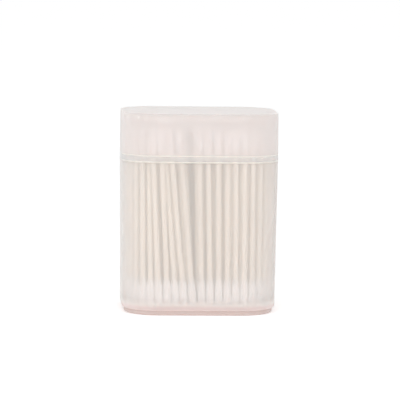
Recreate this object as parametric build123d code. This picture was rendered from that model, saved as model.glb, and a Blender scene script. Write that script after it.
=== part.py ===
from build123d import *
import os
from math import atan, cos, degrees, hypot, pi, radians, tan

# Cotton swab tub: a pull-off lid on an upright tub with rounded corners,
# filled with loose swabs. Millimetres, +Z up, the origin on the surface
# that the foot rests on, below the middle of the tub. The front faces -Y.

# Size across the seam, where tub and lid are widest and flush
WIDTH = 67.0
DEPTH = 50.0
CORNER_RADIUS = 16.0
SEAM_HEIGHT = 65.1

# Moulded walls, each with the draft that lets it leave its mould
WALL = 1.5
FLOOR = 1.5
LID_TOP = 1.5
TUB_DRAFT = 0.6
LID_DRAFT = 0.35
BODY_EDGE = 1.0
INNER_EDGE = 0.6
LID_EDGE = 0.4

# Foot ring under the floor, set in from the body
FOOT_HEIGHT = 2.0
FOOT_INSET = 1.1
FOOT_WIDTH = 1.7
FOOT_EDGE = 0.8

# Half-lap joint: the tub's thin neck stands inside the lid's thin skirt
NECK_HEIGHT = 2.5
SKIRT = 0.65
LAP_GAP = 0.15
NECK_TOP_GAP = 0.2

# Swab: a paper stick with a cotton tip wound on each end
SWAB_LENGTH = 75.5
STICK_DIAMETER = 2.2
TIP_DIAMETER = 3.4
TIP_LENGTH = 11.5
TIP_SHOULDER = 3.5
TIP_ROUND = 2.4
TIP_END_DIAMETER = 1.8

# Room around the swabs
SEAT_GAP = 0.2
HEAD_ROOM = 4.9
WALL_GAP = 0.15
RING_GAP = 0.2
ROW_GAP = 1.1
TOP_GAP = 0.15

# The swabs of the ring along the wall have more sides than the inner ones,
# which are seen only between them
OUTER_SIDES = 6
INNER_SIDES = 4
SETTLING_PASSES = 60

# The front row has a break, and the swabs to its left lean away from it.
# Each pair is how far a top leans along the row, and whether it is pushed in
# behind its neighbours, both in swab spacings, counted from the break outwards.
FRONT_BREAK = -0.95
LEFT_LEANS = (
    (-1.75, 0), (-1.94, 0), (-1.49, 1), (-0.87, 0),
    (-0.87, 0), (-0.54, 1), (-0.09, 0), (-0.05, 0),
)
RIGHT_LEANS = (
    (-0.56, 0), (-0.48, 0), (-0.31, 0), (-0.2, 0),
    (-0.23, 0), (-0.23, 0), (-0.2, 0), (-0.14, 0),
)

# Heights and sizes that follow
FLOOR_HEIGHT = FOOT_HEIGHT + FLOOR
RIM_HEIGHT = SEAM_HEIGHT + NECK_HEIGHT
SWAB_SEAT = FLOOR_HEIGHT + SEAT_GAP
LID_HEIGHT = SWAB_SEAT + SWAB_LENGTH + HEAD_ROOM + LID_TOP - SEAM_HEIGHT
TIP_BARREL = TIP_LENGTH - TIP_SHOULDER - TIP_ROUND
STICK_HALF = SWAB_LENGTH / 2 - TIP_LENGTH
RING_PITCH = TIP_DIAMETER + RING_GAP
ROW_PITCH = TIP_DIAMETER + ROW_GAP
TOP_SPACING = TIP_DIAMETER + TOP_GAP


def narrowed_by(height, draft):
    """How far a drafted wall moves in over a height."""
    return height * tan(radians(draft))


# How far the draft has moved each wall in at its far end
BODY_NARROWING = narrowed_by(SEAM_HEIGHT - FOOT_HEIGHT, TUB_DRAFT)
CAVITY_NARROWING = narrowed_by(RIM_HEIGHT - FLOOR_HEIGHT, TUB_DRAFT)
LID_NARROWING = narrowed_by(LID_HEIGHT, LID_DRAFT)

# How far the middles of the ring's swabs lie in from the outer wall
RING_LINE = WALL + WALL_GAP + TIP_DIAMETER / 2
FRONT_ROW = DEPTH / 2 - RING_LINE - CAVITY_NARROWING


def outline(inset, narrowing=0):
    """The plan outline, set in from the widest one. A draft narrows it but keeps its corners."""
    moved_in = 2 * (inset + narrowing)
    return RectangleRounded(WIDTH - moved_in, DEPTH - moved_in, CORNER_RADIUS - inset)


def outside_by(x, y, inset, narrowing):
    """How far a point lies outside an outline, negative where it is inside."""
    past_x = abs(x) - (WIDTH / 2 - CORNER_RADIUS - narrowing)
    past_y = abs(y) - (DEPTH / 2 - CORNER_RADIUS - narrowing)
    from_middle = hypot(max(past_x, 0), max(past_y, 0)) + min(max(past_x, past_y), 0)
    return from_middle + inset - CORNER_RADIUS


def drafted(inset, bottom, top, narrowing_below=0, narrowing_above=0):
    """A block with straight, slightly sloping walls between two heights."""
    below = Pos(Z=bottom) * outline(inset, narrowing_below)
    above = Pos(Z=top) * outline(inset, narrowing_above)
    return loft([below, above], ruled=True)


def make_tub():
    """The tub: drafted walls, a foot ring, and a thin neck that enters the lid."""
    body = drafted(0, FOOT_HEIGHT, SEAM_HEIGHT, narrowing_below=BODY_NARROWING)
    body = chamfer(body.edges().group_by(Axis.Z)[0], BODY_EDGE)

    foot = extrude(outline(FOOT_INSET, BODY_NARROWING), FLOOR_HEIGHT)
    foot = chamfer(foot.edges().group_by(Axis.Z)[0], FOOT_EDGE)
    recess = extrude(outline(FOOT_INSET + FOOT_WIDTH, BODY_NARROWING), FOOT_HEIGHT)

    neck = Pos(Z=SEAM_HEIGHT - WALL) * extrude(outline(SKIRT + LAP_GAP), WALL + NECK_HEIGHT)
    cavity = drafted(WALL, FLOOR_HEIGHT, RIM_HEIGHT, narrowing_below=CAVITY_NARROWING)
    cavity = chamfer(cavity.edges().group_by(Axis.Z)[0], INNER_EDGE)
    return body + foot + neck - cavity - recess


def make_lid():
    """The lid: a deep cap whose skirt closes over the neck, flush with the tub."""
    cap = drafted(0, 0, LID_HEIGHT, narrowing_above=LID_NARROWING)
    cap = chamfer(cap.edges().group_by(Axis.Z)[-1], LID_EDGE)
    cavity = drafted(WALL, 0, LID_HEIGHT - LID_TOP, narrowing_above=LID_NARROWING)
    cavity = chamfer(cavity.edges().group_by(Axis.Z)[-1], INNER_EDGE)
    rebate = extrude(outline(SKIRT), NECK_HEIGHT + NECK_TOP_GAP)
    return Pos(Z=SEAM_HEIGHT) * (cap - cavity - rebate)


def straight_rod(diameter, length, sides):
    """A rod with flat sides that stands on z = 0."""
    return extrude(RegularPolygon(diameter / 2, sides), length)


def tapered_rod(wide, narrow, length, sides):
    """A rod with flat sides that stands on z = 0 and narrows upwards."""
    flats_move = (wide - narrow) / 2 * cos(pi / sides)
    return extrude(RegularPolygon(wide / 2, sides), length, taper=degrees(atan(flats_move / length)))


def both_ways(half):
    """A whole swab that stands on z = 0, from its upper half."""
    return Pos(Z=SWAB_LENGTH / 2) * (half + mirror(half, Plane.XY))


def make_outer_swab():
    """A swab of the ring: a stick, and tips with a shoulder and a rounded end."""
    half = straight_rod(STICK_DIAMETER, STICK_HALF, OUTER_SIDES)
    shoulder = mirror(tapered_rod(TIP_DIAMETER, STICK_DIAMETER, TIP_SHOULDER, OUTER_SIDES), Plane.XY)
    half += Pos(Z=STICK_HALF + TIP_SHOULDER) * shoulder
    half += Pos(Z=STICK_HALF + TIP_SHOULDER) * straight_rod(TIP_DIAMETER, TIP_BARREL, OUTER_SIDES)
    rounded_end = tapered_rod(TIP_DIAMETER, TIP_END_DIAMETER, TIP_ROUND, OUTER_SIDES)
    half += Pos(Z=SWAB_LENGTH / 2 - TIP_ROUND) * rounded_end
    return both_ways(half)


def make_inner_swab():
    """A plainer swab, whose tips widen evenly from the stick to their ends."""
    half = straight_rod(STICK_DIAMETER, STICK_HALF, INNER_SIDES)
    tip = mirror(tapered_rod(TIP_DIAMETER, STICK_DIAMETER, TIP_LENGTH, INNER_SIDES), Plane.XY)
    half += Pos(Z=SWAB_LENGTH / 2) * tip
    return both_ways(half)


def ring_axes():
    """Foot and top of each swab along the wall, from the break round to the break."""
    foot_path = outline(RING_LINE, CAVITY_NARROWING).face().outer_wire()
    top_path = outline(RING_LINE, LID_NARROWING).face().outer_wire()
    count = int(foot_path.length / RING_PITCH)
    slack = foot_path.length - count * RING_PITCH
    upright = ((0, 0),) * (count - len(RIGHT_LEANS) - len(LEFT_LEANS))
    leans = RIGHT_LEANS + upright + LEFT_LEANS[::-1]
    start = foot_path.param_at_point((FRONT_BREAK, -FRONT_ROW, 0))
    axes = []
    for number, (along, inwards) in enumerate(leans):
        walked = slack / 2 + (number + 0.5) * RING_PITCH
        share = (start + walked / foot_path.length) % 1
        top_share = (share + along * TOP_SPACING / top_path.length) % 1
        from_wall = foot_path.tangent_at(share).rotate(Axis.Z, 90)
        foot = foot_path.position_at(share)
        top = top_path.position_at(top_share) + inwards * TOP_SPACING * from_wall
        axes.append((foot, top))
    return axes


def row_places():
    """Feet of the inner swabs: staggered rows that keep clear of the ring."""
    row_rise = ROW_PITCH * cos(pi / 6)
    rows = int(DEPTH / 2 / row_rise)
    columns = int(WIDTH / 2 / ROW_PITCH)
    places = []
    for row in range(-rows, rows + 1):
        for column in range(-columns, columns + 1):
            x = (column + row % 2 / 2) * ROW_PITCH
            y = row * row_rise
            if outside_by(x, y, RING_LINE + TOP_SPACING, CAVITY_NARROWING) <= 0:
                places.append((x, y))
    return places


def pushed_apart(tops, held):
    """Tops moved until they keep their spacing from each other and the held ones."""
    tops = [list(top) for top in tops]
    for _ in range(SETTLING_PASSES):
        for index, top in enumerate(tops):
            for other in held + tops[:index] + tops[index + 1:]:
                gap = hypot(top[0] - other[0], top[1] - other[1])
                push = max(0, TOP_SPACING - gap) / 2 / gap
                top[0] += push * (top[0] - other[0])
                top[1] += push * (top[1] - other[1])
    return tops


def inner_axes(ring):
    """Foot and top of each inner swab, leaning with the nearest one of the ring."""
    feet = row_places()
    tops = []
    for x, y in feet:
        foot, top = min(ring, key=lambda axis: hypot(x - axis[0].X, y - axis[0].Y))
        share = (FRONT_ROW - y) / 2 / FRONT_ROW
        tops.append((x + share * (top.X - foot.X), y))
    tops = pushed_apart(tops, [(top.X, top.Y) for foot, top in ring])
    return [(Vector(*foot), Vector(*top)) for foot, top in zip(feet, tops)]


def standing(swab, axes):
    """Copies of a swab that stand on the tub's floor along their axes."""
    copies = []
    for foot, top in axes:
        drift = top - foot
        rise = (SWAB_LENGTH**2 - drift.length**2) ** 0.5
        seat = foot + Vector(0, 0, SWAB_SEAT)
        upwards = drift + Vector(0, 0, rise)
        sideways = Vector(rise, 0, -drift.X)
        copies.append(Plane(seat, x_dir=sideways, z_dir=upwards).location * swab)
    return Compound(children=copies)


ring = ring_axes()
parts = {
    "tub": make_tub(),
    "lid": make_lid(),
    "outer_swabs": standing(make_outer_swab(), ring),
    "inner_swabs": standing(make_inner_swab(), inner_axes(ring)),
}
os.makedirs("parts", exist_ok=True)
for name, part in parts.items():
    export_step(part, f"parts/{name}.step")
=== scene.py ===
import logging
import math
from dataclasses import dataclass
from enum import Enum
from typing import Callable

import bmesh
import bpy
from mathutils import Matrix, Vector


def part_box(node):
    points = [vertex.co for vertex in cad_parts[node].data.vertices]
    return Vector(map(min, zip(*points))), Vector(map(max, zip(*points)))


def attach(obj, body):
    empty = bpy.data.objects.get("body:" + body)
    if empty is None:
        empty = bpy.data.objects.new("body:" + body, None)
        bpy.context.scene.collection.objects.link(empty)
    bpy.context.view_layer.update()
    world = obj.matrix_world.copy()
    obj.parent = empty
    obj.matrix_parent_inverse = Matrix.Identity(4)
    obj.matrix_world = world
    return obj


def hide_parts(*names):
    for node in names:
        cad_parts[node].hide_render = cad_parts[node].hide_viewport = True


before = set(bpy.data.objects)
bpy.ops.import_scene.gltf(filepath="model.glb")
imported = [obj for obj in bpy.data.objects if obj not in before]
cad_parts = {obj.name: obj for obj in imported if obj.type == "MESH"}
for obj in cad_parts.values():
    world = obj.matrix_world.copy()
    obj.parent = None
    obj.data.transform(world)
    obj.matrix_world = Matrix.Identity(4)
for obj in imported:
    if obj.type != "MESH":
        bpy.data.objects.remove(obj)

# The looks of the cotton swab tub: two frosted mouldings and the loose swabs
# that show through them. Lengths are millimetres until a mesh is made.

LOG = logging.getLogger("swab_tub")
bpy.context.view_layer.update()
MM = 0.001
# Two heights, or two reaches to the side, are the same within so many millimetres
LEVEL_GAP = 0.01
REACH_GAP = 0.02
# A face is level if the upright part of its normal is over this
FLAT = 0.99
# Corners closer than this, in metres, are one
MERGE_GAP = 1e-6
SMOOTH_ANGLE = math.radians(35)
ROUND_ANGLE = math.radians(80)
GOLDEN_ANGLE = math.radians(137.508)


class Slot(Enum):
    """Material slots of the record."""

    TUB = "frosted_tub"
    LID = "frosted_lid"
    SWABS = "cotton_and_paper"


class Body(Enum):
    """Bodies that move as one."""

    TUB = "tub_body"
    LID = "lid_body"


def linear(sheet_colour: str) -> tuple[float, float, float, float]:
    """Turn an sRGB hex value into a linear colour.

    Args:
        sheet_colour: The colour as "#RRGGBB".

    Returns:
        The linear red, green, blue and an alpha of 1.
    """
    values = [int(sheet_colour[start:start + 2], 16) / 255 for start in (1, 3, 5)]
    levels = [v / 12.92 if v <= 0.04045 else ((v + 0.055) / 1.055) ** 2.4 for v in values]
    return (*levels, 1.0)


def near(length: float, wanted: float, gap: float = LEVEL_GAP) -> bool:
    """Say if two lengths are the same but for rounding."""
    return abs(length - wanted) < gap


def reached(
    starts: list[bmesh.types.BMVert], follows: Callable[[bmesh.types.BMEdge, bmesh.types.BMVert], bool]
) -> list[bmesh.types.BMVert]:
    """Walk along edges from some corners.

    Args:
        starts: The corners to start from.
        follows: Says from an edge and the corner at its far end if the walk goes on there.

    Returns:
        The corners reached, the starts among them.
    """
    found = list(starts)
    seen = set(found)
    for vert in found:
        for edge in vert.link_edges:
            other = edge.other_vert(vert)
            if other not in seen and follows(edge, other):
                seen.add(other)
                found.append(other)
    return found


def deselect_everything() -> None:
    """Leave no object selected or active."""
    bpy.ops.object.select_all(action="DESELECT")
    bpy.context.view_layer.objects.active = None


def select_only(*things: bpy.types.Object) -> None:
    """Select some objects alone, the first one active.

    Args:
        things: The objects.
    """
    deselect_everything()
    for thing in things:
        thing.select_set(True)
    bpy.context.view_layer.objects.active = things[0]


class Moulding:
    """A closed mesh that is shaped in edit mode, by faces and edges picked by their place."""

    def __init__(self, name: str) -> None:
        """Take over the primitive that has just been added.

        Args:
            name: The name of the piece.
        """
        self.shape = bpy.context.view_layer.objects.active
        self.shape.name = name
        self.shape.data.name = name
        select_only(self.shape)
        bpy.ops.object.transform_apply(location=True, rotation=True, scale=True)
        bpy.ops.object.mode_set(mode="EDIT")

    def pick_faces(self, wanted: Callable[[Vector, Vector], bool]) -> None:
        """Select faces.

        Args:
            wanted: Says from a face's middle, in millimetres, and its normal if it is wanted.
        """
        bpy.ops.mesh.select_mode(type="FACE")
        bpy.ops.mesh.select_all(action="DESELECT")
        cage = bmesh.from_edit_mesh(self.shape.data)
        for face in cage.faces:
            face.select_set(wanted(face.calc_center_median() / MM, face.normal))
        bmesh.update_edit_mesh(self.shape.data)

    def pick_edges(self, wanted: Callable[[Vector, Vector], bool]) -> None:
        """Select edges.

        Args:
            wanted: Says from an edge's two ends, in millimetres, if it is wanted.
        """
        bpy.ops.mesh.select_mode(type="EDGE")
        bpy.ops.mesh.select_all(action="DESELECT")
        cage = bmesh.from_edit_mesh(self.shape.data)
        for edge in cage.edges:
            edge.select_set(wanted(*(vert.co / MM for vert in edge.verts)))
        bmesh.update_edit_mesh(self.shape.data)

    def pick_level(self, height: float, facing: float) -> None:
        """Select the flat faces at one height that face up or down.

        Args:
            height: Their height.
            facing: 1 for faces that look up, -1 for faces that look down.
        """
        self.pick_faces(lambda middle, normal: near(middle.z, height) and normal.z * facing > FLAT)

    def round_picked(self, radius: float, steps: int) -> None:
        """Round the picked edges over.

        Args:
            radius: The radius.
            steps: How many faces cross it.
        """
        bpy.ops.mesh.bevel(offset=radius * MM, segments=steps, profile=0.5, affect="EDGES")

    def round_loop(self, height: float, reach: float, radius: float, steps: int) -> None:
        """Round over one edge loop that lies level.

        Args:
            height: The loop's height.
            reach: How far right of the middle the loop gets, to tell it from others at its height.
            radius: The radius.
            steps: How many faces cross it.
        """
        cage = bmesh.from_edit_mesh(self.shape.data)
        ends = [
            vert
            for vert in cage.verts
            if near(vert.co.z / MM, height) and near(abs(vert.co.x) / MM, reach, REACH_GAP)
        ]
        loop = set(reached(ends, lambda edge, vert: near(vert.co.z / MM, height) and self._along(edge)))
        bpy.ops.mesh.select_mode(type="EDGE")
        bpy.ops.mesh.select_all(action="DESELECT")
        for edge in cage.edges:
            edge.select_set(all(vert in loop for vert in edge.verts) and self._along(edge))
        bmesh.update_edit_mesh(self.shape.data)
        self.round_picked(radius, steps)

    @staticmethod
    def _along(edge: bmesh.types.BMEdge) -> bool:
        """Say if an edge is a crease between a level face and another one."""
        level = [abs(face.normal.z) > FLAT for face in edge.link_faces]
        return any(level) and not all(level)

    def set_in(self, distance: float) -> None:
        """Inset the picked faces.

        Args:
            distance: How far the new outline lies inside the old one.
        """
        bpy.ops.mesh.inset(thickness=distance * MM, depth=0, use_even_offset=True)

    def draw(self, rise: float) -> None:
        """Extrude the picked faces straight up or down.

        Args:
            rise: How far, negative for down.
        """
        bpy.ops.mesh.extrude_region_move(TRANSFORM_OT_translate={"value": (0, 0, rise * MM)})

    def narrow(self, width: float, depth: float, by: float) -> None:
        """Draw the picked outline in on all sides, as a draft does.

        Args:
            width: The outline's width.
            depth: Its depth.
            by: How far each side moves in.
        """
        factors = ((width - 2 * by) / width, (depth - 2 * by) / depth, 1)
        bpy.ops.transform.resize(value=factors, center_override=(0, 0, 0))

    def spread(self, factor: float) -> None:
        """Scale the picked faces about the upright axis.

        Args:
            factor: The scale.
        """
        bpy.ops.transform.resize(value=(factor, factor, 1), center_override=(0, 0, 0))

    def score(self, height: float) -> None:
        """Cut a level line round the moulding, where one finish meets another.

        Args:
            height: The line's height.
        """
        bpy.ops.mesh.select_all(action="SELECT")
        bpy.ops.mesh.bisect(plane_co=(0, 0, height * MM), plane_no=(0, 0, 1))

    def finish(self, angle: float = SMOOTH_ANGLE) -> bpy.types.Object:
        """Close the work: merge doubles, point the normals outwards and shade.

        Args:
            angle: Edges under this angle are shaded smooth.

        Returns:
            The finished object.
        """
        bpy.ops.mesh.select_all(action="SELECT")
        bpy.ops.mesh.remove_doubles(threshold=MERGE_GAP)
        bpy.ops.mesh.normals_make_consistent(inside=False)
        bpy.ops.object.mode_set(mode="OBJECT")
        select_only(self.shape)
        bpy.ops.object.shade_smooth_by_angle(angle=angle)
        return self.shape


def dress(shape: bpy.types.Object, finish: bpy.types.Material, wanted: Callable[[Vector], bool]) -> None:
    """Give some of a finished shape's faces a finish of their own.

    Args:
        shape: The shape.
        finish: The material.
        wanted: Says from a face's middle, in millimetres, if it gets the finish.
    """
    if finish.name not in shape.data.materials:
        shape.data.materials.append(finish)
    slot = shape.data.materials.find(finish.name)
    for face in shape.data.polygons:
        if wanted(face.center / MM):
            face.material_index = slot


class NodeSheet:
    """A node tree under construction."""

    def __init__(self, tree: bpy.types.NodeTree, output: str) -> None:
        """Start an empty tree.

        Args:
            tree: The tree.
            output: The type of its output node.
        """
        self.tree = tree
        self.tree.nodes.clear()
        self.output = self.add(output)

    def add(
        self,
        kind: str,
        settings: dict[str | int, object] | None = None,
        links: dict[str | int, bpy.types.NodeSocket] | None = None,
    ) -> bpy.types.Node:
        """Add a node with its settings and links.

        Args:
            kind: The node's type.
            settings: Values by the name of a property, or the name or number of an input.
            links: Output sockets by the name or number of the input that they feed.

        Returns:
            The node.
        """
        node = self.tree.nodes.new(kind)
        for key, value in (settings or {}).items():
            if isinstance(key, str) and key in node.bl_rna.properties and key not in node.inputs:
                setattr(node, key, value)
            else:
                node.inputs[key].default_value = value
        for key, source in (links or {}).items():
            self.tree.links.new(source, node.inputs[key])
        return node

    def show(self, shader: bpy.types.Node) -> None:
        """Send the first output of a shader to the tree's output."""
        self.tree.links.new(shader.outputs[0], self.output.inputs["Surface"])


class Finish(NodeSheet):
    """A procedural material under construction."""

    def __init__(self, name: str) -> None:
        """Start an empty material.

        Args:
            name: The material's name.
        """
        self.material = bpy.data.materials.new(name)
        self.material.use_nodes = True
        super().__init__(self.material.node_tree, "ShaderNodeOutputMaterial")
        self.coordinates = self.add("ShaderNodeTexCoord").outputs["Object"]

    def made(self, shader: bpy.types.Node) -> bpy.types.Material:
        """Close the work with its shader.

        Args:
            shader: The shader.

        Returns:
            The finished material.
        """
        self.show(shader)
        return self.material


@dataclass(frozen=True)
class ThickBase:
    """The look of the plastic where a wall runs into the thick base, and how far up it reaches.

    The thick plastic is denser and shows more of its pink. The veil thins out higher up
    than the pink does: the rounding inside adds plastic to the wall's foot, and the denser veil above it
    is painted light that covers the shade among the tips near the floor.
    """

    milk: str
    veil: float
    milk_span_mm: tuple[float, float] = (3.0, 4.8)
    # Above the inner rounding, the veil's reach is painted light over the shade near the floor
    veil_span_mm: tuple[float, float] = (3.2, 7.2)


@dataclass(frozen=True)
class FrostedPolypropylene:
    """Polypropylene moulded against a spark-eroded tool: milky, faintly pink and see-through.

    The milk in the wall scatters part of the light and lets the rest straight through,
    so the eye gets what lies behind it sharp but pale, and no hard highlight. Seen at a
    slant the wall is thicker, so the veil is denser there.
    """

    name: str
    milk: str
    veil: float
    roughness: float = 0.45
    milk_depth_mm: float = 1.5
    grain_mm: float = 0.6
    grain_height_mm: float = 0.004
    flow_mm: float = 28.0
    unevenness: float = 0.03
    cloud_span: tuple[float, float] = (0.35, 0.65)
    scatter: tuple[float, float, float] = (1.0, 0.95, 0.93)
    base: ThickBase | None = None

    def make(self) -> bpy.types.Material:
        """Build the material.

        Returns:
            The material.
        """
        finish = Finish(self.name)
        passed, caught = self._veil(finish)
        plastic = finish.add(
            "ShaderNodeBsdfPrincipled",
            {
                "Base Color": linear(self.milk),
                "IOR": 1.49,
                "Subsurface Weight": 1.0,
                "Subsurface Radius": self.scatter,
                "Subsurface Scale": self.milk_depth_mm * MM,
            },
            {
                "Alpha": caught.outputs["Value"],
                "Roughness": self._frosting(finish),
                "Normal": self._grain(finish),
            },
        )
        if self.base:
            self._thicken(finish, plastic.inputs["Base Color"], passed.inputs[0])
        return finish.made(plastic)

    def _grain(self, finish: Finish) -> bpy.types.NodeSocket:
        """Give the surface the grain of its mould.

        Args:
            finish: The material under construction.

        Returns:
            The socket with the grained normal.
        """
        # The real grain is about 0.05 mm. It is drawn 0.6 mm wide, so that it shows in a close render
        grain = finish.add(
            "ShaderNodeTexNoise",
            {"Scale": 1 / (self.grain_mm * MM), "Detail": 3.0, "Roughness": 0.6},
            {"Vector": finish.coordinates},
        )
        relief = finish.add(
            "ShaderNodeBump",
            {"Strength": 1.0, "Distance": self.grain_height_mm * MM},
            {"Height": grain.outputs["Fac"]},
        )
        return relief.outputs["Normal"]

    def _frosting(self, finish: Finish) -> bpy.types.NodeSocket:
        """Make the frosting a little uneven, by slow clouds in the melt.

        Args:
            finish: The material under construction.

        Returns:
            The socket with the roughness.
        """
        clouds = finish.add(
            "ShaderNodeTexNoise",
            {"Scale": 1 / (self.flow_mm * MM), "Detail": 2.0},
            {"Vector": finish.coordinates},
        )
        frosting = finish.add(
            "ShaderNodeMapRange",
            {
                "From Min": self.cloud_span[0],
                "From Max": self.cloud_span[1],
                "To Min": self.roughness - self.unevenness,
                "To Max": self.roughness + self.unevenness,
            },
            {"Value": clouds.outputs["Fac"]},
        )
        return frosting.outputs["Result"]

    def _veil(self, finish: Finish) -> tuple[bpy.types.Node, bpy.types.Node]:
        """Work out how much of the light a wall lets through and how much it catches.

        Args:
            finish: The material under construction.

        Returns:
            The node for what passes, whose first input is the share seen square on, and
            the node for what is caught.
        """
        # The share that passes square on is raised to the power of one over the slant's cosine
        slant = finish.add("ShaderNodeLayerWeight", {"Blend": 0.5})
        cosine = finish.add(
            "ShaderNodeMath", {"operation": "SUBTRACT", 0: 1.0}, {1: slant.outputs["Facing"]}
        )
        thickness = finish.add(
            "ShaderNodeMath", {"operation": "DIVIDE", 0: 1.0}, {1: cosine.outputs["Value"]}
        )
        passed = finish.add(
            "ShaderNodeMath", {"operation": "POWER", 0: 1 - self.veil}, {1: thickness.outputs["Value"]}
        )
        caught = finish.add(
            "ShaderNodeMath", {"operation": "SUBTRACT", 0: 1.0}, {1: passed.outputs["Value"]}
        )
        return passed, caught

    def _thicken(
        self, finish: Finish, colour: bpy.types.NodeSocket, clearness: bpy.types.NodeSocket
    ) -> None:
        """Turn the wall's look into the base's towards the bottom.

        Args:
            finish: The material under construction.
            colour: The socket for the milk's colour.
            clearness: The socket for the share that a wall lets through square on.
        """
        place = finish.add("ShaderNodeSeparateXYZ", {}, {"Vector": finish.coordinates})
        shares = []
        for (bottom, top), low, high in (
            (self.base.milk_span_mm, 0.0, 1.0),
            (self.base.veil_span_mm, 1 - self.base.veil, 1 - self.veil),
        ):
            shares.append(
                finish.add(
                    "ShaderNodeMapRange",
                    {
                        "interpolation_type": "SMOOTHSTEP",
                        "From Min": bottom * MM,
                        "From Max": top * MM,
                        "To Min": low,
                        "To Max": high,
                    },
                    {"Value": place.outputs["Z"]},
                ).outputs["Result"]
            )
        milk = finish.add(
            "ShaderNodeMix",
            {"data_type": "RGBA", 6: linear(self.base.milk), 7: linear(self.milk)},
            {0: shares[0]},
        )
        finish.tree.links.new(milk.outputs[2], colour)
        finish.tree.links.new(shares[1], clearness)


@dataclass(frozen=True)
class RolledPaper:
    """Paper rolled tightly into a stick: warm white and matt, with its fibres running along it."""

    name: str = "rolled_paper"
    light: str = "#F9F6EF"
    shade: str = "#F4EEE4"
    fibre_mm: float = 0.35
    stretch: float = 0.1
    relief_mm: float = 0.03

    def make(self) -> bpy.types.Material:
        """Build the material.

        Returns:
            The material.
        """
        finish = Finish(self.name)
        # Fibres run along the stick, so the noise is stretched tenfold upwards
        along = finish.add(
            "ShaderNodeMapping", {"Scale": (1.0, 1.0, self.stretch)}, {"Vector": finish.coordinates}
        )
        fibres = finish.add(
            "ShaderNodeTexNoise",
            {"Scale": 1 / (self.fibre_mm * MM), "Detail": 4.0, "Roughness": 0.65},
            {"Vector": along.outputs["Vector"]},
        )
        tone = finish.add(
            "ShaderNodeMix",
            {"data_type": "RGBA", 6: linear(self.shade), 7: linear(self.light)},
            {0: fibres.outputs["Fac"]},
        )
        relief = finish.add(
            "ShaderNodeBump",
            {"Strength": 0.6, "Distance": self.relief_mm * MM},
            {"Height": fibres.outputs["Fac"]},
        )
        paper = finish.add(
            "ShaderNodeBsdfPrincipled",
            {"Roughness": 0.8, "IOR": 1.5, "Specular IOR Level": 0.25},
            {"Base Color": tone.outputs[2], "Normal": relief.outputs["Normal"]},
        )
        return finish.made(paper)


@dataclass(frozen=True)
class WoundCotton:
    """Bleached cotton wound on a stick: bright white, fuzzy, with soft strands round it."""

    name: str = "wound_cotton"
    light: str = "#F9FAFC"
    shade: str = "#F3F5F7"
    strand_mm: float = 0.5
    squeeze: float = 1.8
    relief_mm: float = 0.16

    def make(self) -> bpy.types.Material:
        """Build the material.

        Returns:
            The material.
        """
        finish = Finish(self.name)
        # Strands lie nearly level round the tip, so the noise is squeezed upwards
        round_the_tip = finish.add(
            "ShaderNodeMapping", {"Scale": (1.0, 1.0, self.squeeze)}, {"Vector": finish.coordinates}
        )
        strands = finish.add(
            "ShaderNodeTexNoise",
            {"Scale": 1 / (self.strand_mm * MM), "Detail": 5.0, "Roughness": 0.7},
            {"Vector": round_the_tip.outputs["Vector"]},
        )
        tone = finish.add(
            "ShaderNodeMix",
            {"data_type": "RGBA", 6: linear(self.shade), 7: linear(self.light)},
            {0: strands.outputs["Fac"]},
        )
        relief = finish.add(
            "ShaderNodeBump",
            {"Strength": 0.9, "Distance": self.relief_mm * MM},
            {"Height": strands.outputs["Fac"]},
        )
        cotton = finish.add(
            "ShaderNodeBsdfPrincipled",
            {"Roughness": 0.95, "Sheen Weight": 0.1, "Sheen Roughness": 0.5, "Specular IOR Level": 0.1},
            {"Base Color": tone.outputs[2], "Normal": relief.outputs["Normal"]},
        )
        return finish.made(cotton)


@dataclass
class Outline:
    """The widest plan outline, across the seam."""

    width: float = 67.0
    depth: float = 50.0
    corner: float = 16.0
    corner_steps: int = 20

    def block(self, name: str, bottom: float, top: float) -> Moulding:
        """Start a moulding as an upright block with rounded corners.

        Args:
            name: The piece's name.
            bottom: Its lower height.
            top: Its upper height.

        Returns:
            The moulding, in edit mode.
        """
        deselect_everything()
        bpy.ops.mesh.primitive_cube_add(
            size=1,
            location=(0, 0, (bottom + top) / 2 * MM),
            scale=(self.width * MM, self.depth * MM, (top - bottom) * MM),
        )
        block = Moulding(name)
        block.pick_edges(lambda one, other: not near(one.z, other.z))
        block.round_picked(self.corner, self.corner_steps)
        return block


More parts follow.
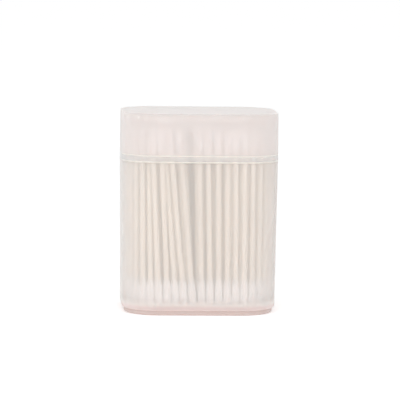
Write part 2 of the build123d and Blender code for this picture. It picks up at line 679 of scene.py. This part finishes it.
@dataclass
class Tub:
    """The tub: drafted walls, a foot ring set in from the body, and a thin neck."""

    outline: Outline
    seam: float
    draft: float = math.radians(0.6)
    foot_height: float = 2.0
    foot_inset: float = 1.1
    foot_width: float = 1.7
    foot_edge: float = 0.9
    body_edge: float = 1.0
    floor_height: float = 3.5
    inner_edge: float = 1.0
    neck_inset: float = 0.8
    neck_height: float = 2.5
    rim_edge: float = 0.2
    lip: float = 0.15
    bright_edge: float = 0.45
    wall: float = 1.5
    edge_steps: int = 4
    rim_steps: int = 2

    def build(
        self,
        wall: bpy.types.Material,
        foot: bpy.types.Material,
        thin: bpy.types.Material,
        edge: bpy.types.Material,
    ) -> bpy.types.Object:
        """Model the tub from the block at its walls down to the foot and up to the neck.

        Args:
            wall: The finish of its walls and its base.
            foot: The finish of its foot ring, pinker and darkened with painted shade.
            thin: The finish of its thin neck.
            edge: The whiter finish of its neck's rim, a painted highlight, and of the lip round its neck
                and of its floor, painted light that covers the shade under the skirt and beneath the
                floor.

        Returns:
            The tub.
        """
        plan = self.outline
        tub = plan.block("frosted_tub", self.foot_height, self.seam)
        narrowing = (self.seam - self.foot_height) * math.tan(self.draft)
        tub.pick_level(self.foot_height, -1)
        tub.narrow(plan.width, plan.depth, narrowing)
        self._foot(tub, plan.width / 2 - narrowing)
        self._mouth(tub)
        bright_from = self.seam + self.neck_height - self.bright_edge
        for height in (self.seam - self.lip, self.seam, bright_from):
            tub.score(height)
        shape = tub.finish()
        shape.data.materials.append(wall)
        # The foot ring's darker milk is painted shade under the body's step
        dress(shape, foot, lambda middle: middle.z < self.foot_height - LEVEL_GAP)
        dress(shape, thin, lambda middle: middle.z > self.seam + LEVEL_GAP)
        # The rim gets a painted highlight, and the floor and the lip under the skirt get painted light
        # over their shade
        dress(shape, edge, lambda middle: middle.z > bright_from)
        dress(shape, edge, lambda middle: near(middle.z, self.floor_height))
        dress(shape, edge, lambda middle: -self.lip < middle.z - self.seam < LEVEL_GAP)
        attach(shape, Body.TUB.value)
        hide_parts("tub")
        return shape

    def _foot(self, tub: Moulding, reach: float) -> None:
        """Draw the foot ring out of the body's underside.

        Args:
            tub: The moulding.
            reach: Half the body's width at its underside.
        """
        tub.pick_level(self.foot_height, -1)
        tub.set_in(self.foot_inset)
        tub.draw(-self.foot_height)
        tub.set_in(self.foot_width)
        tub.draw(self.foot_height)
        tub.round_loop(0, reach - self.foot_inset, self.foot_edge, self.edge_steps)
        tub.round_loop(self.foot_height, reach, self.body_edge, self.edge_steps)

    def _mouth(self, tub: Moulding) -> None:
        """Draw the neck up and sink the cavity into it.

        Args:
            tub: The moulding.
        """
        plan = self.outline
        reach = plan.width / 2
        rim = self.seam + self.neck_height
        sinking = rim - self.floor_height
        narrowing = sinking * math.tan(self.draft)
        tub.pick_level(self.seam, 1)
        tub.set_in(self.neck_inset)
        tub.draw(self.neck_height)
        tub.set_in(self.wall - self.neck_inset)
        tub.draw(-sinking)
        tub.narrow(plan.width - 2 * self.wall, plan.depth - 2 * self.wall, narrowing)
        tub.round_loop(self.floor_height, reach - self.wall - narrowing, self.inner_edge, self.edge_steps)
        tub.round_loop(rim, reach - self.neck_inset, self.rim_edge, self.rim_steps)


@dataclass
class Lid:
    """The lid: a deep cap whose thin skirt closes over the tub's neck."""

    outline: Outline
    seam: float
    top: float
    draft: float = math.radians(0.35)
    top_edge: float = 0.7
    inner_edge: float = 0.8
    skirt: float = 0.65
    skirt_edge: float = 0.06
    bright_edge: float = 0.4
    rebate_height: float = 2.7
    line_below: float = 0.1
    line_above: float = 0.25
    wall: float = 1.5
    top_wall: float = 1.5
    edge_steps: int = 4
    skirt_steps: int = 2

    def build(
        self, wall: bpy.types.Material, thin: bpy.types.Material, edge: bpy.types.Material
    ) -> bpy.types.Object:
        """Model the lid from the block at its walls to its rounded top and its inside.

        Args:
            wall: The finish of its walls and top.
            thin: The finish of its thin skirt.
            edge: The whiter finish, a painted highlight, of its skirt's lower edge and of the line along
                the step inside it.

        Returns:
            The lid.
        """
        plan = self.outline
        reach = plan.width / 2
        lid = plan.block("frosted_lid", self.seam, self.top)
        narrowing = (self.top - self.seam) * math.tan(self.draft)
        lid.pick_level(self.top, 1)
        lid.narrow(plan.width, plan.depth, narrowing)
        lid.round_loop(self.top, reach - narrowing, self.top_edge, self.edge_steps)
        lid.pick_level(self.seam, -1)
        lid.set_in(self.skirt)
        lid.draw(self.rebate_height)
        lid.set_in(self.wall - self.skirt)
        ceiling = self.top - self.top_wall
        lid.draw(ceiling - self.seam - self.rebate_height)
        lid.narrow(plan.width - 2 * self.wall, plan.depth - 2 * self.wall, narrowing)
        lid.round_loop(ceiling, reach - self.wall - narrowing, self.inner_edge, self.edge_steps)
        lid.round_loop(self.seam, reach, self.skirt_edge, self.skirt_steps)
        rebate_top = self.seam + self.rebate_height
        bright_to = self.seam + self.bright_edge
        line_from, line_to = rebate_top - self.line_below, rebate_top + self.line_above
        for height in (bright_to, rebate_top, line_from, line_to):
            lid.score(height)
        shape = lid.finish()
        shape.data.materials.append(wall)
        dress(shape, thin, lambda middle: middle.z < rebate_top + LEVEL_GAP)
        # The skirt's lower edge and the line along the step get a painted highlight
        dress(shape, edge, lambda middle: middle.z < bright_to or line_from < middle.z < line_to)
        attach(shape, Body.LID.value)
        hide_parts("lid")
        return shape


@dataclass
class SwabBundle:
    """The loose swabs, each where its CAD solid stands."""

    length: float = 75.5
    stick_radius: float = 1.1
    stick_waist: float = 0.99
    stick_sides: int = 12
    tip_sides: int = 10
    # How far above the tip's lower end each ring lies, and its radius
    tip_rings: tuple[tuple[float, float], ...] = (
        (0.0, 1.15),
        (1.2, 1.42),
        (3.0, 1.68),
        (8.8, 1.76),
        (10.9, 1.64),
        (11.35, 1.28),
    )
    tip_length: float = 11.5
    tip_end_radius: float = 0.75
    stick_in_tip: float = 4.0

    def axes(self) -> list[tuple[Vector, Vector]]:
        """Read where each swab stands from the CAD nodes.

        Returns:
            The middle, in metres, and the upward direction of each swab.
        """
        found = []
        for node in ("outer_swabs", "inner_swabs"):
            cage = bmesh.new()
            cage.from_mesh(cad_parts[node].data)
            bmesh.ops.remove_doubles(cage, verts=cage.verts, dist=MERGE_GAP)
            seen: set[bmesh.types.BMVert] = set()
            for start in cage.verts:
                if start not in seen:
                    solid = reached([start], lambda edge, vert: True)
                    seen.update(solid)
                    found.append(self._axis([vert.co.copy() for vert in solid]))
            cage.free()
        return found

    @staticmethod
    def _axis(points: list[Vector]) -> tuple[Vector, Vector]:
        """Find a swab's middle and direction.

        Args:
            points: The corners of its solid, the same number on each half.

        Returns:
            The middle and the upward direction.
        """
        points = sorted(points, key=lambda point: point.z)
        half = len(points) // 2
        low = sum(points[:half], Vector()) / half
        high = sum(points[half:], Vector()) / half
        return (low + high) / 2, (high - low).normalized()

    @staticmethod
    def _drawn(
        name: str, sides: int, rings: tuple[tuple[float, float], ...], start: float
    ) -> bpy.types.Object:
        """Model a round shape from a disc that is drawn up ring by ring.

        Args:
            name: The shape's name.
            sides: How many sides it has.
            rings: The height over the start and the radius of each ring.
            start: The height of the first ring over the swab's middle.

        Returns:
            The shape, on the upright axis.
        """
        deselect_everything()
        bpy.ops.mesh.primitive_circle_add(
            vertices=sides, radius=rings[0][1] * MM, fill_type="NGON", location=(0, 0, start * MM)
        )
        shape = Moulding(name)
        bpy.ops.mesh.select_all(action="SELECT")
        for (below, wide), (above, narrow) in zip(rings, rings[1:]):
            shape.draw(above - below)
            shape.spread(narrow / wide)
        return shape.finish(ROUND_ANGLE)

    def build(self, paper: bpy.types.Material, cotton: bpy.types.Material) -> list[bpy.types.Object]:
        """Model one stick and one tip and copy them to every swab.

        Args:
            paper: The sticks' material.
            cotton: The tips' material.

        Returns:
            The sticks and the tips.
        """
        half = self.length / 2
        stick_half = half - self.tip_length + self.stick_in_tip
        stick_rings = (
            (0.0, self.stick_radius),
            (stick_half, self.stick_radius * self.stick_waist),
            (2 * stick_half, self.stick_radius),
        )
        stick = self._drawn("paper_stick", self.stick_sides, stick_rings, -stick_half)
        rings = self.tip_rings + ((self.tip_length, self.tip_end_radius),)
        tip = self._drawn("cotton_tip", self.tip_sides, rings, half - self.tip_length)
        upside_down = Matrix.Rotation(math.pi, 4, "X")
        places = [self._place(number, *axis) for number, axis in enumerate(self.axes())]
        lower_places = [place @ upside_down for place in places]
        sticks = self._copied("paper_sticks", stick, places, paper)
        tips = self._copied("cotton_tips", tip, places + lower_places, cotton)
        for shape in (sticks, tips):
            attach(shape, Body.TUB.value)
            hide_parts("outer_swabs", "inner_swabs")
        return [sticks, tips]

    @staticmethod
    def _place(number: int, middle: Vector, upwards: Vector) -> Matrix:
        """Work out where a swab goes.

        Args:
            number: The swab's number, which sets how it is turned about itself.
            middle: Its middle.
            upwards: Its direction.

        Returns:
            The matrix that takes an upright swab there.
        """
        turn = Matrix.Rotation(number * GOLDEN_ANGLE, 4, "Z")
        return Matrix.Translation(middle) @ upwards.to_track_quat("Z", "Y").to_matrix().to_4x4() @ turn

    @staticmethod
    def _copied(
        name: str, model: bpy.types.Object, places: list[Matrix], finish: bpy.types.Material
    ) -> bpy.types.Object:
        """Copy a model to each place and join the copies.

        Args:
            name: The joined piece's name.
            model: The model, which is used up.
            places: Where the copies go.
            finish: Their material.

        Returns:
            The joined piece.
        """
        copies = []
        for place in places:
            copy = bpy.data.objects.new(name, model.data.copy())
            copy.data.transform(place)
            bpy.context.collection.objects.link(copy)
            copies.append(copy)
        bpy.data.objects.remove(model)
        select_only(*copies)
        bpy.ops.object.join()
        joined = bpy.context.view_layer.objects.active
        joined.name = name
        joined.data.name = name
        joined.data.materials.clear()
        joined.data.materials.append(finish)
        return joined


@dataclass
class Studio:
    """A white table with a seamless white room round it, and the camera."""

    table_size: float = 40000.0
    card_lift: float = 0.27
    elevation: float = math.radians(6.137)
    turned: float = math.radians(3.61)
    roll: float = math.radians(0.731)
    distance: float = 1145.3
    focus_height: float = 42.6
    pixels_per_mm: float = 2.3225
    image_middle: tuple[float, float] = (197.74, 209.92)
    image_size: float = 400.0
    sensor: float = 36.0
    room_level: float = 0.73
    lamp_place: tuple[float, float, float] = (-180, -1190, 420)
    lamp_size: float = 900.0
    lamp_watts: float = 6.6

    def table(self) -> bpy.types.Object:
        """Lay the table.

        Returns:
            The table, which is not part of the object.
        """
        deselect_everything()
        bpy.ops.mesh.primitive_plane_add(size=self.table_size * MM, location=(0, 0, 0))
        table = bpy.context.view_layer.objects.active
        table.name = "white_table"
        select_only(table)
        bpy.ops.object.transform_apply(location=True, rotation=True, scale=True)
        finish = Finish("matt_white_card")
        card = finish.add(
            "ShaderNodeBsdfPrincipled",
            {"Base Color": linear("#FFFFFF"), "Roughness": 0.9, "Specular IOR Level": 0.0},
        )
        # The camera alone sees the card a little lighter, so that it is white out to the horizon
        seen = finish.add("ShaderNodeLightPath")
        lift = finish.add(
            "ShaderNodeMath",
            {"operation": "MULTIPLY", 1: self.card_lift},
            {0: seen.outputs["Is Camera Ray"]},
        )
        glow = finish.add("ShaderNodeEmission", links={"Strength": lift.outputs["Value"]})
        both = finish.add(
            "ShaderNodeAddShader", links={0: card.outputs["BSDF"], 1: glow.outputs["Emission"]}
        )
        table.data.materials.append(finish.made(both))
        return table

    def room(self) -> None:
        """Light the object evenly from all round, in front of white."""
        world = bpy.data.worlds.new("white_room")
        world.use_nodes = True
        bpy.context.scene.world = world
        sheet = NodeSheet(world.node_tree, "ShaderNodeOutputWorld")
        colour = linear("#FFFFFF")
        glow = sheet.add("ShaderNodeBackground", {"Color": colour, "Strength": self.room_level})
        white = sheet.add("ShaderNodeBackground", {"Color": colour, "Strength": 1.0})
        # White is what is seen, straight, mirrored or through something, and the glow is what lights
        seen = sheet.add("ShaderNodeLightPath")
        either = seen.outputs["Is Camera Ray"]
        for ray in ("Is Glossy Ray", "Is Transmission Ray"):
            either = sheet.add(
                "ShaderNodeMath", {"operation": "MAXIMUM"}, {0: either, 1: seen.outputs[ray]}
            ).outputs["Value"]
        sheet.show(
            sheet.add(
                "ShaderNodeMixShader",
                links={"Fac": either, 1: glow.outputs["Background"], 2: white.outputs["Background"]},
            )
        )

    def lamp(self) -> None:
        """Hang a soft square lamp that points at the object."""
        light = bpy.data.lights.new("soft_key", "AREA")
        light.size = self.lamp_size * MM
        light.energy = self.lamp_watts
        hung = bpy.data.objects.new("soft_key", light)
        bpy.context.collection.objects.link(hung)
        place = Vector(self.lamp_place)
        aim = Vector((0, 0, self.focus_height)) - place
        turn = aim.to_track_quat("-Z", "Y").to_matrix().to_4x4()
        hung.matrix_world = Matrix.Translation(place * MM) @ turn

    def camera(self) -> None:
        """Set the camera up as the photograph was taken."""
        side = Vector((-math.sin(self.turned), -math.cos(self.turned), 0))
        outwards = side * math.cos(self.elevation) + Vector((0, 0, math.sin(self.elevation)))
        middle = Vector((0, 0, self.focus_height))
        lens = bpy.data.cameras.new("photo_view")
        lens.sensor_width = self.sensor
        lens.lens = self.pixels_per_mm * self.distance * self.sensor / self.image_size
        half = self.image_size / 2
        lens.shift_x = (half - self.image_middle[0]) / self.image_size
        lens.shift_y = (self.image_middle[1] - half) / self.image_size
        lens.clip_end = self.table_size * MM
        camera = bpy.data.objects.new("photo_view", lens)
        bpy.context.collection.objects.link(camera)
        aim = outwards.to_track_quat("Z", "Y").to_matrix().to_4x4()
        spot = Matrix.Translation((middle + outwards * self.distance) * MM)
        camera.matrix_world = spot @ aim @ Matrix.Rotation(self.roll, 4, "Z")
        bpy.context.scene.camera = camera


def main() -> None:
    """Build every piece in order and set up the picture."""
    logging.basicConfig(level=logging.INFO, format="%(name)s: %(message)s")
    plan = Outline()
    seam, top = (corner[2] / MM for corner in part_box("lid"))
    base = ThickBase(milk="#F1E1DE", veil=0.7)
    # The tub's walls let the swabs show through, and the milkier lid little more than their shadow
    wall = FrostedPolypropylene("frosted_pp_tub", milk="#F9F0EC", veil=0.32, base=base).make()
    cap = FrostedPolypropylene("frosted_pp_lid", milk="#F7EEEB", veil=0.48).make()
    # The foot is the thickest plastic and the pinkest, and its milk is darkened as painted shade under
    # the body's step; the neck and skirt are the thinnest
    foot = FrostedPolypropylene("frosted_pp_foot_shaded", milk="#DECEC9", veil=0.8).make()
    thin = FrostedPolypropylene("frosted_pp_thin", milk="#FFF9F5", veil=0.3).make()
    # The edge finish is whiter and denser than the wall: a painted highlight on the rim, the skirt's edge
    # and the step inside the lid, and painted light where it covers the shade on the tub's floor and
    # under the skirt
    edge = FrostedPolypropylene(
        "frosted_pp_edge_painted_light", milk="#FFF6EF", veil=0.7, milk_depth_mm=0.2
    ).make()
    pieces = [
        Tub(plan, seam).build(wall, foot, thin, edge),
        Lid(plan, seam, top).build(cap, thin, edge),
        *SwabBundle().build(RolledPaper().make(), WoundCotton().make()),
    ]
    for piece in pieces:
        LOG.info("%s: %d faces", piece.name, len(piece.data.polygons))

    studio = Studio()
    studio.table()
    studio.room()
    studio.lamp()
    studio.camera()
    # Light goes to and fro among the white swabs many times before it comes out
    bpy.context.scene.cycles.diffuse_bounces = 12
    bpy.context.scene.cycles.max_bounces = 24
    bpy.context.scene.view_settings.view_transform = "Standard"


if __name__ == "__main__":
    main()
